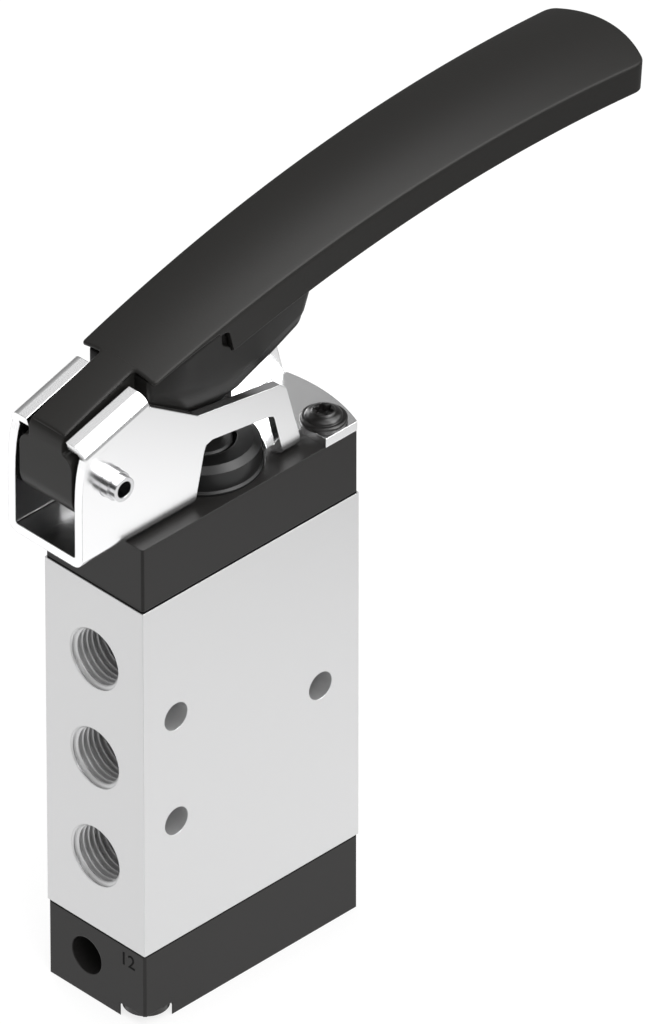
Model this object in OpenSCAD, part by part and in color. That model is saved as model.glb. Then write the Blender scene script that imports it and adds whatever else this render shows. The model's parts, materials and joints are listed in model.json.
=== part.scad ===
// Finger lever valve: a slim five-port spool valve, worked by a long moulded lever on a sheet steel bracket.
// Millimetres. +Z is up, the spool axis is the Z axis, and z = 0 is the underside of the lower cap.
// -X is the face with three ports, where the lever has its pivot; the lever's free end points to +X.

/* [Valve body] */
// Length of the body, from port face to port face
body_len = 56.6; // [52:0.1:62]
// Width of the body across the flat sides
body_w = 26.5; // [24:0.1:32]
// Height of the aluminium block
body_h = 79.6; // [76:0.1:90]
// Small bevel along the block's upright edges
body_bevel = 0.1; // [0.05:0.05:1]

/* [Ports] */
// Radius of the threaded ports at the thread's root
port_r = 6.58; // [5:0.01:6.8]
// Depth of the threaded part of a port
port_depth = 12; // [9:0.5:13]
// Spacing of the ports on one face
port_pitch = 22.9; // [21:0.1:24]
// Radius of the flow passage behind a port
passage_r = 4.2; // [2.5:0.1:4.6]

/* [Mounting holes] */
// Radius of the through holes in the flat side
mount_r = 3; // [2:0.05:3.2]
// Distance of the front pair of holes from the middle of the body
mount_front_x = 19.8; // [19.3:0.1:21]
// Spacing of the front pair of holes
mount_pitch = 24.3; // [22:0.1:26]
// Distance of the single rear hole from the middle of the body
mount_rear_x = 18.1; // [17:0.1:21]

/* [Caps and gaskets] */
// Height of the lower cap
low_cap_h = 16.7; // [14:0.1:22]
// Height of the upper cap
top_cap_h = 14.1; // [12:0.1:20]
// How far the caps stand back from the block on each side
cap_inset = 0.15; // [0.05:0.05:1]
// Bevel along the caps' upright edges
cap_bevel = 0.4; // [0.3:0.1:2]
// Thickness of the two gaskets
gasket_t = 0.5; // [0.3:0.1:1.5]
// Radius of the pilot hole in the lower cap
pilot_r = 4; // [2:0.1:4.5]
// Depth of the pilot hole
pilot_depth = 10; // [6:0.5:14]
// Sideways place of the pilot hole
pilot_y = 2.7; // [-3:0.1:3]
// Height of the pilot hole
pilot_z = 9.2; // [8:0.1:10]

/* [Screws] */
// Radius of the screw shanks
screw_r = 2; // [1.5:0.1:2.2]
// Radius of the screw heads' flange
head_r = 4.55; // [3.5:0.05:4.8]
// Height of a screw head with its flange
head_h = 2.2; // [2:0.05:3]
// Distance of the screws from the body's end faces
screw_end = 4.8; // [4.5:0.05:5.3]
// Distance of the screws from the body's flat sides
screw_side = 4.65; // [4.45:0.05:4.95]
// Length of thread inside the block
screw_bite = 9; // [6:0.5:9.5]
// Height of the open corner pockets for the lower screw heads
pocket_h = 2.8; // [2.5:0.1:5]
// Radius of the corner pockets around the screws
pocket_r = 5.1; // [4.9:0.1:5.6]
// Thickness of the washers under the upper screws
washer_t = 0.4; // [0.3:0.1:1.2]

/* [Spool and seals] */
// Radius of the bore through the block
bore_r = 8.5; // [8:0.1:9.2]
// Radius of the spool's sealing lands
land_r = 4.5; // [4:0.1:5]
// Radius of the spool's waists
waist_r = 2.9; // [2:0.1:3.4]
// Height of one lip seal
seal_h = 2.4; // [1.8:0.1:3]
// Inner radius of the spacer cages
cage_r = 6.1; // [5.8:0.1:6.8]
// Radius of the windows in the spacer cages
cage_window_r = 2.3; // [1.5:0.1:2.8]
// Number of windows in each cage
cage_windows = 6; // [4:1:8]
// Travel of plunger and spool
stroke = 5; // [3:0.1:5]
// Wire radius of the return spring
wire_r = 0.6; // [0.4:0.05:0.8]
// Mean coil radius of the return spring
coil_r = 4.4; // [3.5:0.1:4.8]
// Number of turns of the return spring
coil_turns = 8; // [6:1:10]

/* [Plunger and guide] */
// Radius of the plunger
plunger_r = 5.8; // [5:0.1:6]
// Height of the guide collar over the upper cap
collar_h = 5.8; // [4:0.1:7]
// Radius of the guide collar
collar_r = 11.2; // [10:0.1:11.5]
// Radius of the thin lip at the collar's foot
collar_lip_r = 11.7; // [11.6:0.1:12]
// Radius of the guide's stem inside the cap
guide_stem_r = 9; // [8.6:0.1:9.6]

/* [Bracket] */
// Sheet thickness of the bracket
sheet = 2; // [1.5:0.1:2.2]
// Half the bracket's width over the two side walls
wall_y = 10; // [9.8:0.1:10.3]
// Height of the lip's upper face over the cap, above the pivot
lip_h = 29; // [28.6:0.1:31]
// Rise of the lip towards the rear, in degrees
lip_rise = 16.3; // [15:0.1:18]
// Gap between the two lips is twice this
lip_y = 5.3; // [5:0.1:6.4]
// Front end of the bracket's side walls
bracket_front_x = -40.65; // [-41:0.05:-40.2]
// How far the base plate's rear end stands out past the body's end face, on the centre line
bracket_over = 2.1; // [1.2:0.1:3.7]
// Clearance around the guide collar
collar_gap = 0.4; // [0.3:0.1:1]

/* [Pivot] */
// Distance of the pivot from the spool axis along X
pivot_x = -33.2; // [-34:0.1:-32.5]
// Height of the pivot over the upper cap
pivot_h = 16.9; // [16:0.1:18]
// Radius of the hollow pin
pin_r = 2.95; // [2:0.05:3.2]
// Radius of the pin's bore
pin_bore_r = 1.72; // [1:0.05:1.8]
// Radius of the stepped ring at each end of the pin
pin_ring_r = 2.55; // [2.1:0.05:2.6]
// Half the pin's length
pin_y = 13.6; // [12.5:0.1:14.5]

/* [Lever] */
// Radius of the long arch along the lever's crest
crest_r = 334.6; // [300:1:380]
// Place of the crest's highest point along X
crest_x = 78.7; // [70:0.5:90]
// Height of the crest's highest point over the cap
crest_h = 49.65; // [47:0.1:54]
// Radius of the crown across the lever
crown_r = 48; // [35:1:90]
// Front end of the wide part of the lever, behind the lips
shoulder_x = -21.8; // [-22:0.1:-20.5]
// Half width of the lever at the shoulder
shoulder_y = 9.78; // [9.6:0.1:11]
// How much the half width grows per millimetre towards the tip
lever_flare = 0.024; // [0:0.002:0.04]
// Furthest point of the lever's rounded tip
tip_x = 107.35; // [90:0.5:120]
// Radius of the rounded tip seen from above
tip_r = 25.8; // [20:0.5:40]
// Thickness of the lever's top wall
shell_t = 2; // [1.5:0.1:2.5]
// Thickness of the lever's skirt
skirt_t = 1.7; // [1.2:0.1:1.8]
// Height of the skirt below the crest line, at the crest's highest point
skirt_h = 6.4; // [5:0.1:8]
// How much the skirt's height falls per millimetre towards the tip
skirt_taper = 0.0124; // [0:0.0005:0.02]
// Front end of the skirt
skirt_x = -1.9; // [-3:0.1:1]
// Number of stiffening ribs under the lever
rib_count = 5; // [2:1:8]
// Thickness of a rib
rib_t = 1.4; // [1:0.1:2]
// Half width of the neck between the lips
neck_y = 4.4; // [4:0.1:4.7]
// Half width of the barrel around the pin
barrel_y = 7; // [6:0.1:7.4]
// Front face of the barrel along X
barrel_front = -40.4; // [-40.6:0.1:-39.6]
// Height of the barrel's underside over the cap
barrel_low = 8.7; // [7.6:0.1:10]
// Half width of the pressure block's keel
keel_y = 7.5; // [6.8:0.05:7.6]
// How far the pressure block's sides stand back from the lever's edges
block_inset = 0.3; // [0.2:0.05:1.2]
// Height of the keel's lowest point over the cap
keel_h = 19.5; // [18.5:0.1:21]
// Rear end of the pressure block
block_rear_x = 21.4; // [18:0.1:24]
// Radius of the nose that presses the plunger
nose_r = 4.9; // [3.5:0.1:5]
// Place of the nose along X
nose_x = 1; // [0:0.1:1.5]

/* [Fits] */
// Radial clearance of a turning or sliding fit
running = 0.05; // [0.02:0.01:0.1]
// Clearance between pieces that only lie together
loose = 0.05; // [0.02:0.01:0.2]
// Gap between nose and plunger at rest
nose_gap = 0.2; // [0.1:0.05:0.5]

/* [Hidden] */
$fn = 64;
cut = 0.01;
far = 200;

// Levels along the spool axis
block_z = low_cap_h + gasket_t;
block_top = block_z + body_h;
cap_z = block_top + gasket_t;
deck = cap_z + top_cap_h;
mid_z = block_z + body_h / 2;
step_z = port_pitch / 2;
stack_half = 2.5 * step_z + seal_h / 2;

// Plan size of the caps, and the screws' distance from the spool axis
cap_len = body_len - 2 * cap_inset;
cap_w = body_w - 2 * cap_inset;
screw_x = body_len / 2 - screw_end;
screw_y = body_w / 2 - screw_side;

// Spool: the top end meets the plunger, the lower end meets the spring seat
spool_top = block_top - 3;
spool_low = mid_z - stack_half - 3.2;
// How far each land reaches past the seal that it closes
mid_lap = 1.525;
low_lap = 2.175;
high_lap = 2.675;
seat_flange_h = 2;
seat_stem_h = 3;
spring_top = spool_low - seat_flange_h;
spring_floor = 3;
spring_hole_r = 6.2;
plunger_top = deck + collar_h;
plunger_step = spool_top + stroke + 0.5;
plunger_foot_r = 4.4;

// Guide and its seals
guide_foot = deck - 10;
wiper_r = 7.2;
wiper_z = deck + collar_h - 3;
wiper_h = 2;
ring_r = 0.62;
groove_z = deck - 7;
groove_h = 1.6;
groove_depth = 1.3;
stem_ring_r = 0.75;
stem_groove_z = deck - 3.2;
stem_groove_h = 1.8;
stem_groove_depth = 1.5;
ring_gap = 0.04;
mouth_r = 6.6;

// Pivot, lips and lever
pivot_z = deck + pivot_h;
bend_r = sheet + 0.5;
base_y = wall_y - bend_r;
lip_len = 17;
lip_leg = 1.2;
lip_front_x = bracket_front_x + 0.43;
ear_depth = bend_r + lip_leg / 2;
crest_z = deck + crest_h - crest_r;
window_x = -11.3;
bracket_rear_x = body_len / 2 + bracket_over;
rear_r = 35;
tongue_w = 10;
tongue_front = -screw_x - tongue_w / 2 + 0.1;
tongue_rear = tongue_front + tongue_w;
rear_tongue_x = screw_x - 3.9;
arm_foot_x = rear_tongue_x - 2.8;
nose_tip_r = 3.4;
nose_base_z = deck + keel_h + 2;
nose_bottom = plunger_top + nose_gap;
slab_half = lever_y(tip_x) + 5;

// Half width of the lever at a place along X
function lever_y(x) = shoulder_y + lever_flare * (x - shoulder_x);
// Height of the crest at a place along X
function crest_at(x) = crest_z + sqrt(crest_r * crest_r - (x - crest_x) * (x - crest_x));

// Plain block with bevelled upright edges, standing on z = 0
module bevelled_block(len, w, h, bevel) {
    a = len / 2;
    b = w / 2;
    linear_extrude(h)
        polygon([[-a + bevel, -b], [a - bevel, -b], [a, -b + bevel], [a, b - bevel],
                 [a - bevel, b], [-a + bevel, b], [-a, b - bevel], [-a, -b + bevel]]);
}

// Upright tube between two levels
module tube(z0, z1, outer, inner) {
    translate([0, 0, z0]) difference() {
        cylinder(r = outer, h = z1 - z0);
        translate([0, 0, -1]) cylinder(r = inner, h = z1 - z0 + 2);
    }
}

// Round ring around the spool axis
module o_ring(z, major, minor) {
    translate([0, 0, z]) rotate_extrude() translate([major, 0]) circle(r = minor, $fn = 32);
}

// Cylinder along Y, centred on y = 0
module across(r, half) {
    rotate([90, 0, 0]) cylinder(r = r, h = 2 * half, center = true);
}

// Outline in the X-Z plane, extruded along Y between two places
module side_profile(y0, y1) {
    translate([0, y1, 0]) rotate([90, 0, 0]) linear_extrude(y1 - y0) children();
}

// Outline in the Y-Z plane, extruded both ways along a line that rises towards +X
module raked(x, z, rise, before, after) {
    translate([x, 0, z]) rotate([0, -rise, 0]) translate([-before, 0, 0])
        rotate([90, 0, 90]) linear_extrude(before + after) children();
}

// The two bracket screws sit on one diagonal and the two lower screws on the other
module at_bracket_screws() {
    for (s = [-1, 1]) translate([-s * screw_x, s * screw_y, 0]) children();
}
module at_low_screws() {
    for (turn = [0, 180]) rotate([0, 0, turn]) translate([screw_x, screw_y, 0]) children();
}

// One port: threaded depth and the passage to the spool bore, opening towards +X
module port(z) {
    translate([body_len / 2 - port_depth, 0, z]) rotate([0, 90, 0]) cylinder(r = port_r, h = port_depth + 1);
    translate([0, 0, z]) rotate([0, 90, 0]) cylinder(r = passage_r, h = body_len / 2 - port_depth + cut);
}

module valve_body() {
    color("gainsboro") difference() {
        translate([0, 0, block_z]) bevelled_block(body_len, body_w, body_h, body_bevel);
        translate([0, 0, block_z - 1]) cylinder(r = bore_r, h = body_h + 2);
        for (i = [-1, 0, 1]) rotate([0, 0, 180]) port(mid_z + i * port_pitch);
        for (i = [-1, 1]) port(mid_z + i * step_z);
        for (i = [-1, 1])
            translate([-mount_front_x, 0, mid_z + i * mount_pitch / 2]) across(mount_r, body_w);
        translate([mount_rear_x, 0, mid_z]) across(mount_r, body_w);
        at_bracket_screws() translate([0, 0, block_top - screw_bite - 1])
            cylinder(r = screw_r + loose, h = screw_bite + 2);
        at_low_screws() translate([0, 0, block_z - 1]) cylinder(r = screw_r + loose, h = screw_bite + 2);
    }
}

module top_cap() {
    color("dimgray") difference() {
        translate([0, 0, cap_z]) bevelled_block(cap_len, cap_w, top_cap_h, cap_bevel);
        translate([0, 0, cap_z - 1]) cylinder(r = spring_hole_r, h = top_cap_h);
        translate([0, 0, guide_foot]) cylinder(r = guide_stem_r + loose, h = far);
        at_bracket_screws() translate([0, 0, cap_z - 1]) cylinder(r = screw_r + 0.3, h = top_cap_h + 2);
    }
}

module bottom_cap() {
    color("dimgray") difference() {
        bevelled_block(cap_len, cap_w, low_cap_h, cap_bevel);
        translate([0, 0, spring_floor]) cylinder(r = spring_hole_r + 0.6, h = far);
        translate([-cap_len / 2 - 1, pilot_y, pilot_z]) rotate([0, 90, 0])
            cylinder(r = pilot_r, h = pilot_depth + 1);
        translate([-cap_len / 2, pilot_y, pilot_z]) rotate([0, 90, 0]) cylinder(r = 1.5, h = cap_len / 2);
        at_low_screws() {
            translate([0, 0, -1]) cylinder(r = pocket_r, h = pocket_h + 1);
            translate([0, 0, -1]) cube([far, far, pocket_h + 1]);
            translate([0, 0, -1]) cylinder(r = screw_r + 0.3, h = low_cap_h + 2);
        }
    }
}

// A gasket has the caps' outline, a window for the spool bore and holes for its two screws
module gasket(z) {
    translate([0, 0, z]) difference() {
        bevelled_block(cap_len, cap_w, gasket_t, cap_bevel);
        translate([0, 0, -1]) cylinder(r = bore_r, h = gasket_t + 2);
        translate([0, 0, -1]) children();
    }
}

module top_gasket() {
    color("black") gasket(block_top) at_bracket_screws() cylinder(r = screw_r + 0.3, h = gasket_t + 2);
}

module bottom_gasket() {
    color("black") gasket(low_cap_h) at_low_screws() cylinder(r = screw_r + 0.3, h = gasket_t + 2);
}

// Height of the lip's upper face over the deck at a place along X
function lip_at(x) = lip_h + (x - pivot_x) * tan(lip_rise);
// Place in the side view: along the lip from its front end, and so deep below its upper face
function lip_point(along, deep) = [lip_front_x + along * cos(lip_rise) + deep * sin(lip_rise),
                                   lip_at(lip_front_x) + along * sin(lip_rise) - deep * cos(lip_rise)];

// Side wall shared by both sides: tall ear in front, falling to a valley where the arm begins
ear_points = [[bracket_front_x, 0], [bracket_front_x, 14], [bracket_front_x + 0.12, 17.3],
              [bracket_front_x + 0.42, 20.4], [bracket_front_x + 0.8, 22.4],
              lip_point(0, ear_depth), lip_point(lip_len, ear_depth), [-22.9, 28.8], [-10.5, 20.6]];

// window beside the plunger, with rounded upper corners
module wall_window() {
    polygon([[window_x - 0.5, -1], [window_x, 1.2], [-9, 11.7], [-8.5, 12.9], [-6.8, 13.4],
             [7.9, 11.2], [9.1, 10.7], [9.4, 9.9], [12.05, -1]]);
}

module near_wall() {
    difference() {
        polygon(concat(ear_points, [[arm_foot_x - 6, 17.1], [arm_foot_x - 4.3, 15.7], [arm_foot_x, 0]]));
        wall_window();
    }
}

module far_wall() {
    difference() {
        polygon(concat(ear_points, [[bracket_rear_x - 5.2, 13.9], [bracket_rear_x - 3.9, 12.6],
                                    [bracket_rear_x - 0.7, 0]]));
        wall_window();
        // room for the far screw's head
        polygon([[tongue_front - 0.6, -1], [tongue_front - 0.6, 7], [tongue_front + 1, 8.2],
                 [tongue_rear - 1, 8.2], [tongue_rear + 0.6, 7], [tongue_rear + 0.6, -1]]);
    }
}

// Folded section of the bracket: base, two walls and the outer bends
module channel_section() {
    difference() {
        union() {
            translate([-wall_y + bend_r, 0]) square([2 * (wall_y - bend_r), sheet]);
            translate([-wall_y, bend_r]) square([sheet, far]);
            translate([wall_y - sheet, bend_r]) square([sheet, far]);
            for (s = [-1, 1]) intersection() {
                translate([s * (wall_y - bend_r), bend_r]) circle(r = bend_r);
                translate([s > 0 ? wall_y - bend_r : -wall_y, 0]) square([bend_r, bend_r]);
            }
        }
        for (s = [-1, 1]) translate([s * (wall_y - bend_r), bend_r]) circle(r = bend_r - sheet);
    }
}

// Lip with its bend, in a plane across the lip's own slope
module lip_section() {
    wrap = 0.01;
    outer = bend_r + wrap;
    inner = bend_r - sheet - wrap;
    for (s = [0, 1]) mirror([s, 0]) {
        translate([lip_y, -bend_r + inner]) square([base_y - lip_y, outer - inner]);
        translate([base_y + inner, -bend_r - lip_leg]) square([outer - inner, lip_leg]);
        translate([base_y, -bend_r]) intersection() {
            difference() {
                circle(r = outer);
                circle(r = inner);
            }
            square(outer + 1);
        }
    }
}

// Outline of the base seen from above: straight front, rounded rear and the two screw tongues
module base_plan() {
    difference() {
        union() {
            translate([bracket_front_x, -base_y]) square([window_x - bracket_front_x, 2 * base_y]);
            translate([tongue_front, 0]) square([tongue_rear - tongue_front, body_w / 2]);
            intersection() {
                translate([bracket_rear_x - rear_r, 0]) circle(r = rear_r, $fn = 128);
                union() {
                    translate([8, -base_y]) square([far, 2 * base_y]);
                    translate([rear_tongue_x, -body_w / 2]) square([far, body_w / 2]);
                }
            }
        }
        circle(r = collar_lip_r + collar_gap);
    }
}

module lever_bracket() {
    color("whitesmoke") difference() {
        translate([0, 0, deck]) union() {
            // folded walls, each trimmed to its own side view
            intersection() {
                translate([-far, 0, 0]) rotate([90, 0, 90]) linear_extrude(2 * far) channel_section();
                union() {
                    side_profile(-wall_y - 1, -base_y) near_wall();
                    side_profile(base_y, wall_y + 1) far_wall();
                }
            }
            linear_extrude(sheet) base_plan();
            // inward lips over the ears
            raked(lip_front_x, lip_at(lip_front_x), lip_rise, 0, lip_len) lip_section();
        }
        translate([pivot_x, 0, pivot_z]) across(pin_r + loose, wall_y + 5);
        at_bracket_screws() translate([0, 0, deck - 1]) cylinder(r = screw_r + 0.3, h = sheet + 2);
        translate([0, 0, deck - 1]) cylinder(r = collar_lip_r + collar_gap, h = collar_h + 3);
    }
}

module pivot_pin() {
    color("silver") translate([pivot_x, 0, pivot_z]) difference() {
        union() {
            across(pin_r, pin_y - 1.6);
            across(pin_ring_r, pin_y);
        }
        across(pin_bore_r, pin_y + 1);
    }
}

// Layer of the lever's crowned top between two depths, turned about the arch's axis
module crest_slab(top_drop, bottom_drop) {
    translate([crest_x, 0, crest_z]) rotate([90, 0, 0]) rotate_extrude($fn = 128) intersection() {
        difference() {
            translate([crest_r - top_drop - crown_r, 0]) circle(r = crown_r, $fn = 128);
            translate([crest_r - bottom_drop - crown_r, 0]) circle(r = crown_r, $fn = 128);
        }
        translate([crest_r - bottom_drop - 12, -slab_half]) square([bottom_drop - top_drop + 12, 2 * slab_half]);
    }
}

// All that lies under the skirt's lower edge, lowered further by a gap
module under_skirt(gap) {
    translate([crest_x + skirt_taper * crest_r, 0, crest_z - skirt_h - gap]) rotate([90, 0, 0])
        rotate_extrude($fn = 128) intersection() {
            translate([crest_r - crown_r, 0]) circle(r = crown_r, $fn = 128);
            translate([crest_r - 40, -slab_half]) square([41, 2 * slab_half]);
        }
}

// Plan of the lever between two places along X, set in from its edge by a wall thickness
module lever_plan(x0, x1, inset) {
    intersection() {
        polygon([[x0, -lever_y(x0) + inset], [x1, -lever_y(x1) + inset],
                 [x1, lever_y(x1) - inset], [x0, lever_y(x0) - inset]]);
        union() {
            translate([tip_x - tip_r, 0]) circle(r = tip_r - inset, $fn = 96);
            translate([tip_x - tip_r - far, -far / 2]) square(far);
        }
    }
}

// Lever seen from the side where it has its neck and barrel
module neck_profile() {
    corner_r = 6;
    low = deck + barrel_low;
    rear = 2 * pivot_x - barrel_front;
    for (x = [barrel_front + corner_r, rear - corner_r]) translate([x, low + corner_r]) circle(r = corner_r);
    translate([barrel_front + corner_r, low]) square([rear - barrel_front - 2 * corner_r, corner_r]);
    polygon([[barrel_front, low + corner_r], [barrel_front, deck + 25.6], [barrel_front + 0.3, deck + 27.6],
             [barrel_front + 1, deck + 28.5], [shoulder_x, deck + 33.6], [shoulder_x + 7, deck + 35],
             [shoulder_x + 7, deck + 27], [rear, deck + 20], [rear, low + corner_r]]);
}

// Cross-section of neck and barrel, measured from the lips' underside
module neck_section() {
    round_r = 2.8;
    translate([-neck_y, -far]) square([2 * neck_y, 2 * far]);
    translate([-barrel_y, -far]) square([2 * barrel_y, far - round_r]);
    translate([-barrel_y + round_r, -round_r - cut]) square([2 * (barrel_y - round_r), round_r + cut]);
    for (s = [-1, 1]) translate([s * (barrel_y - round_r), -round_r]) circle(r = round_r);
}

module lever_handle() {
    barrel_gap = 1.3;
    color("dimgray") difference() {
        union() {
            // top wall and skirt
            intersection() {
                crest_slab(0, shell_t);
                translate([0, 0, deck]) linear_extrude(far) lever_plan(shoulder_x, tip_x, 0);
            }
            difference() {
                intersection() {
                    crest_slab(shell_t / 2, 20);
                    translate([0, 0, deck]) linear_extrude(far) difference() {
                        lever_plan(skirt_x, tip_x, 0);
                        lever_plan(skirt_x - 1, tip_x, skirt_t);
                    }
                }
                under_skirt(0);
            }
            // ribs across the hollow underside
            intersection() {
                crest_slab(shell_t / 2, skirt_h - 1.6);
                translate([0, 0, deck]) linear_extrude(far) intersection() {
                    lever_plan(skirt_x, tip_x, skirt_t / 2);
                    for (i = [1 : rib_count])
                        translate([block_rear_x + 2 + (i - 0.5) * (tip_x - block_rear_x - 6) / rib_count, 0])
                            square([rib_t, 40], center = true);
                }
            }
            // neck and barrel
            intersection() {
                side_profile(-far, far) neck_profile();
                raked(bracket_front_x, deck + lip_at(bracket_front_x) - sheet / cos(lip_rise) - barrel_gap,
                      lip_rise, far, far) neck_section();
                union() {
                    crest_slab(0, 60);
                    translate([shoulder_x - far, -far, deck]) cube([far, 2 * far, far]);
                }
            }
        }
        translate([pivot_x, 0, pivot_z]) across(pin_r + running, barrel_y + 5);
        // tongue of the neck that runs back under the top wall is no wider than the neck
        for (s = [0, 1]) mirror([0, s, 0]) translate([shoulder_x, neck_y, deck]) cube([8, 20, 30]);
    }
}

// Side view of the keel: rounded belly that rises to the rear
module keel_profile() {
    end_r = 2;
    polygon([[shoulder_x + 0.3, far], [shoulder_x + 0.3, keel_h + 5.5], [-9.7, keel_h + 1], [-7, keel_h + 0.2],
             [-4, keel_h], [-0.5, keel_h + 0.25], [2.9, keel_h + 0.9], [block_rear_x - end_r, keel_h + 6.4],
             [block_rear_x - 0.4, keel_h + 7.6], [block_rear_x, keel_h + 9], [block_rear_x, far]]);
}

// Section with bottom edges rounded to the keel's half width
module keel_section() {
    round_r = 4;
    translate([-keel_y, round_r]) square([2 * keel_y, 60]);
    translate([-keel_y + round_r, 0]) square([2 * (keel_y - round_r), 10]);
    for (s = [-1, 1]) translate([s * (keel_y - round_r), round_r]) circle(r = round_r);
}

// Section of the flanks, which slant out from the keel in two steps
module flank_section() {
    start = keel_y - 0.03;
    polygon([[-start, 0], [start, 0], [start + 1.2, 0.9], [start + 3, 5], [start + 4, 60],
             [-start - 4, 60], [-start - 3, 5], [-start - 1.2, 0.9]]);
}

module pressure_block() {
    flank_h = 24.2;
    rake_rear = 16;
    rake_front = -9;
    color("darkslategray") difference() {
        union() {
            difference() {
                intersection() {
                    translate([0, 0, deck]) side_profile(-far, far) keel_profile();
                    translate([0, 0, deck]) linear_extrude(far) lever_plan(shoulder_x, tip_x, block_inset);
                    union() {
                        intersection() {
                            raked(-4, deck + keel_h - 0.6, rake_rear, 30, 60) keel_section();
                            raked(-4, deck + keel_h - 0.6, rake_front, 60, 60) keel_section();
                        }
                        intersection() {
                            raked(-9.9, deck + flank_h, -26, 40, 60) flank_section();
                            raked(-9.9, deck + flank_h, 0, 40, 60) flank_section();
                            raked(4, deck + flank_h, rake_rear, 60, 60) flank_section();
                        }
                    }
                }
                crest_slab(-20, shell_t + loose);
                // room for the skirt
                difference() {
                    translate([0, 0, deck]) linear_extrude(far) difference() {
                        translate([skirt_x - 0.1, -20]) square([far, 40]);
                        lever_plan(skirt_x - 1, tip_x, skirt_t + 0.1);
                    }
                    under_skirt(0.1);
                }
                // slot for the neck's tongue
                translate([shoulder_x - 1, -neck_y - 0.1, deck]) cube([8.1 + 0.3, 2 * neck_y + 0.2, 60]);
            }
            translate([nose_x, 0, 0]) rotate_extrude() polygon([
                [0, nose_bottom], [nose_tip_r - 1, nose_bottom + 0.25], [nose_tip_r, nose_bottom + 0.8],
                [nose_r, nose_bottom + 6], [nose_r, nose_base_z + 2], [0, nose_base_z + 2]]);
        }
        // lightening pocket inside the block, open towards the lever's top wall
        translate([6, -keel_y + 2, deck + keel_h + 7]) cube([12, 2 * keel_y - 4, 40]);
    }
}

module plunger() {
    color("dimgray") {
        translate([0, 0, plunger_step]) cylinder(r = plunger_r, h = plunger_top - plunger_step - 0.4);
        translate([0, 0, plunger_top - 0.4]) cylinder(r1 = plunger_r, r2 = plunger_r - 0.4, h = 0.4);
        translate([0, 0, spool_top]) cylinder(r = plunger_foot_r, h = plunger_step - spool_top + cut);
    }
}

module plunger_guide() {
    inner = plunger_r + running;
    color("dimgray") difference() {
        rotate_extrude() polygon([
            [inner, guide_foot + loose], [guide_stem_r, guide_foot + loose], [guide_stem_r, deck],
            [collar_lip_r, deck], [collar_lip_r, deck + 0.5],
            [collar_r, deck + 0.8], [collar_r, deck + collar_h - 1.15],
            [collar_r - 1.35, deck + collar_h], [mouth_r, deck + collar_h],
            [mouth_r, wiper_z + wiper_h], [wiper_r + loose, wiper_z + wiper_h],
            [wiper_r + loose, wiper_z - loose], [inner, wiper_z - loose]]);
        // groove for the plunger's ring
        translate([0, 0, groove_z - groove_h / 2]) cylinder(r = plunger_r + groove_depth, h = groove_h);
        // groove for the stem's ring
        tube(stem_groove_z - stem_groove_h / 2, stem_groove_z + stem_groove_h / 2,
             guide_stem_r + 1, guide_stem_r - stem_groove_depth);
    }
}

module wiper_ring() {
    color("black") rotate_extrude() polygon([
        [plunger_r + running, wiper_z], [wiper_r, wiper_z], [wiper_r, wiper_z + wiper_h - loose],
        [plunger_r + 0.7, wiper_z + wiper_h - loose], [plunger_r + running, wiper_z + wiper_h - 0.4]]);
}

module plunger_o_ring() {
    color("black") o_ring(groove_z, plunger_r + ring_gap + ring_r, ring_r);
}

module guide_o_ring() {
    color("black") o_ring(stem_groove_z, guide_stem_r + loose - 0.02 - stem_ring_r, stem_ring_r);
}

// Spool with three lands: the waists open and close the ways between the ports
module spool() {
    low_waist = [mid_z - 1.5 * step_z + low_lap, mid_z - step_z / 2 - mid_lap + stroke];
    high_waist = [mid_z + step_z / 2 + mid_lap, mid_z + 1.5 * step_z - high_lap + stroke];
    color("silver") difference() {
        translate([0, 0, spool_low]) cylinder(r = land_r, h = spool_top - spool_low);
        for (w = [low_waist, high_waist]) tube(w[0], w[1], land_r + 1, waist_r);
        // small bevels at both ends
        for (e = [0, 1]) translate([0, 0, e == 0 ? spool_low : spool_top]) mirror([0, 0, e]) difference() {
            translate([0, 0, -1]) cylinder(r = land_r + 1, h = 1.5);
            translate([0, 0, -1]) cylinder(r1 = land_r - 2, r2 = land_r + 0, h = 1.5 + cut);
        }
    }
}

module spool_seals() {
    color("black") for (i = [-2.5 : 1 : 2.5]) {
        z = mid_z + i * step_z;
        rotate_extrude() polygon([
            [land_r + 1.6, z - seal_h / 2], [bore_r - loose, z - seal_h / 2], [bore_r - loose, z + seal_h / 2],
            [land_r + 1.6, z + seal_h / 2], [land_r + running, z + 0.5], [land_r + running, z - 0.5]]);
    }
}

module spacer_cages() {
    half = (step_z - seal_h) / 2;
    color("tan") for (i = [-2 : 2]) {
        z = mid_z + i * step_z;
        difference() {
            tube(z - half, z + half, bore_r - loose, cage_r);
            for (k = [0 : cage_windows - 1]) translate([0, 0, z]) rotate([0, 90, k * 360 / cage_windows])
                cylinder(r = cage_window_r, h = bore_r + 1);
        }
    }
}

module end_sleeves() {
    color("tan") {
        tube(mid_z + stack_half, cap_z, bore_r - loose, spring_hole_r);
        tube(low_cap_h, mid_z - stack_half, bore_r - loose, spring_hole_r);
    }
}

module spring_seat() {
    color("silver") {
        translate([0, 0, spring_top]) cylinder(r = spring_hole_r - 0.2, h = seat_flange_h);
        translate([0, 0, spring_top - seat_stem_h]) cylinder(r = coil_r - wire_r - 0.3, h = seat_stem_h + cut);
    }
}

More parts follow.
